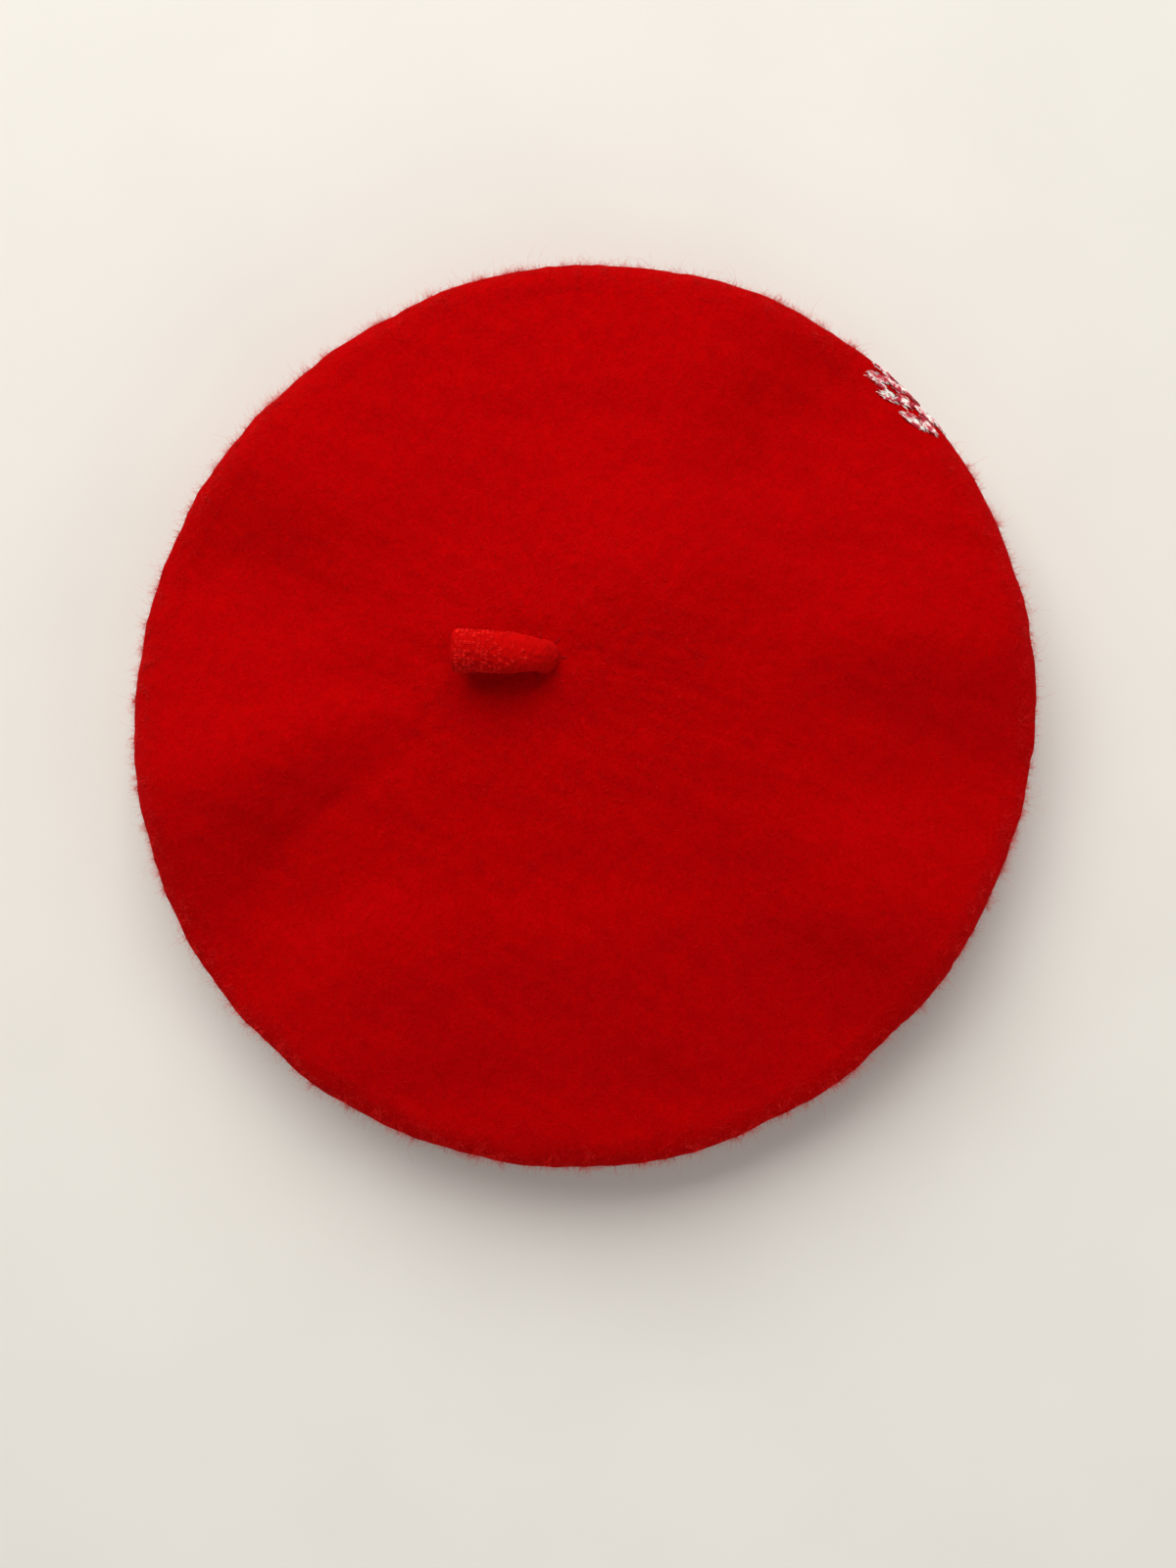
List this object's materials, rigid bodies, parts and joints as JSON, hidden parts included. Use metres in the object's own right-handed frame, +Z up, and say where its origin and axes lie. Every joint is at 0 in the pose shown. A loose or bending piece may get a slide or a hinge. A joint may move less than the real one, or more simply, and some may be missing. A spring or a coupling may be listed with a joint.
{
  "type": "beret",
  "caption": "Red felt beret with a short knitted stalk, a rolled rim with an embroidered motif, a leather sweatband and a satin lining.",
  "frame": {"origin": "centre of the head opening, on the plane that the beret's hem rests on", "axes": "+Z up through the crown, +Y towards the wearer's forehead, so the sweatband's join is at the back on -Y"},
  "size_m": [0.28, 0.28, 0.0687],
  "materials": {
    "red_felt": "fulled wool felt with a short nap",
    "stalk_felt": "knitted and lightly fulled wool",
    "red_thread": "matt polyester thread",
    "band_leather": "smooth dark brown leather, burnished edges",
    "seam_thread": "waxed linen-coloured thread",
    "lining_satin": "dark red satin",
    "label_tape": "damask-woven label, blank",
    "tag_tape": "nylon care-tag tape, blank",
    "motif_pale_thread": "satin-stitched rayon thread",
    "motif_dark_thread": "dark outline thread"
  },
  "bodies": {
    "beret": {"felt_crown": "red_felt", "sweatband": "band_leather", "lining_tip": "lining_satin", "lining_underside": "lining_satin", "woven_label": "label_tape", "sweatband_stitches": "seam_thread", "sweatband_join_stitches": "seam_thread", "lining_stitches": "red_thread", "label_stitches": "seam_thread", "stalk_tack_stitches": "red_thread", "rim_motif_bars": "motif_pale_thread", "rim_motif_outline": "motif_dark_thread"},
    "stalk": {"stalk": "stalk_felt"},
    "care_tag": {"care_tag": "tag_tape"}
  },
  "joints": [
    {"name": "stalk_flop", "type": "hinge", "parent": "beret", "child": "stalk", "pos_m": [-0.012, 0.0168, 0.05727], "axis": [0.0523, 0.9986, 0], "range_deg": [-4, 150]},
    {"name": "care_tag_flip", "type": "hinge", "parent": "beret", "child": "care_tag", "pos_m": [0.04555, -0.07889, 0.011], "axis": [0.866, 0.5, 0], "range_deg": [-3, 50]}
  ]
}
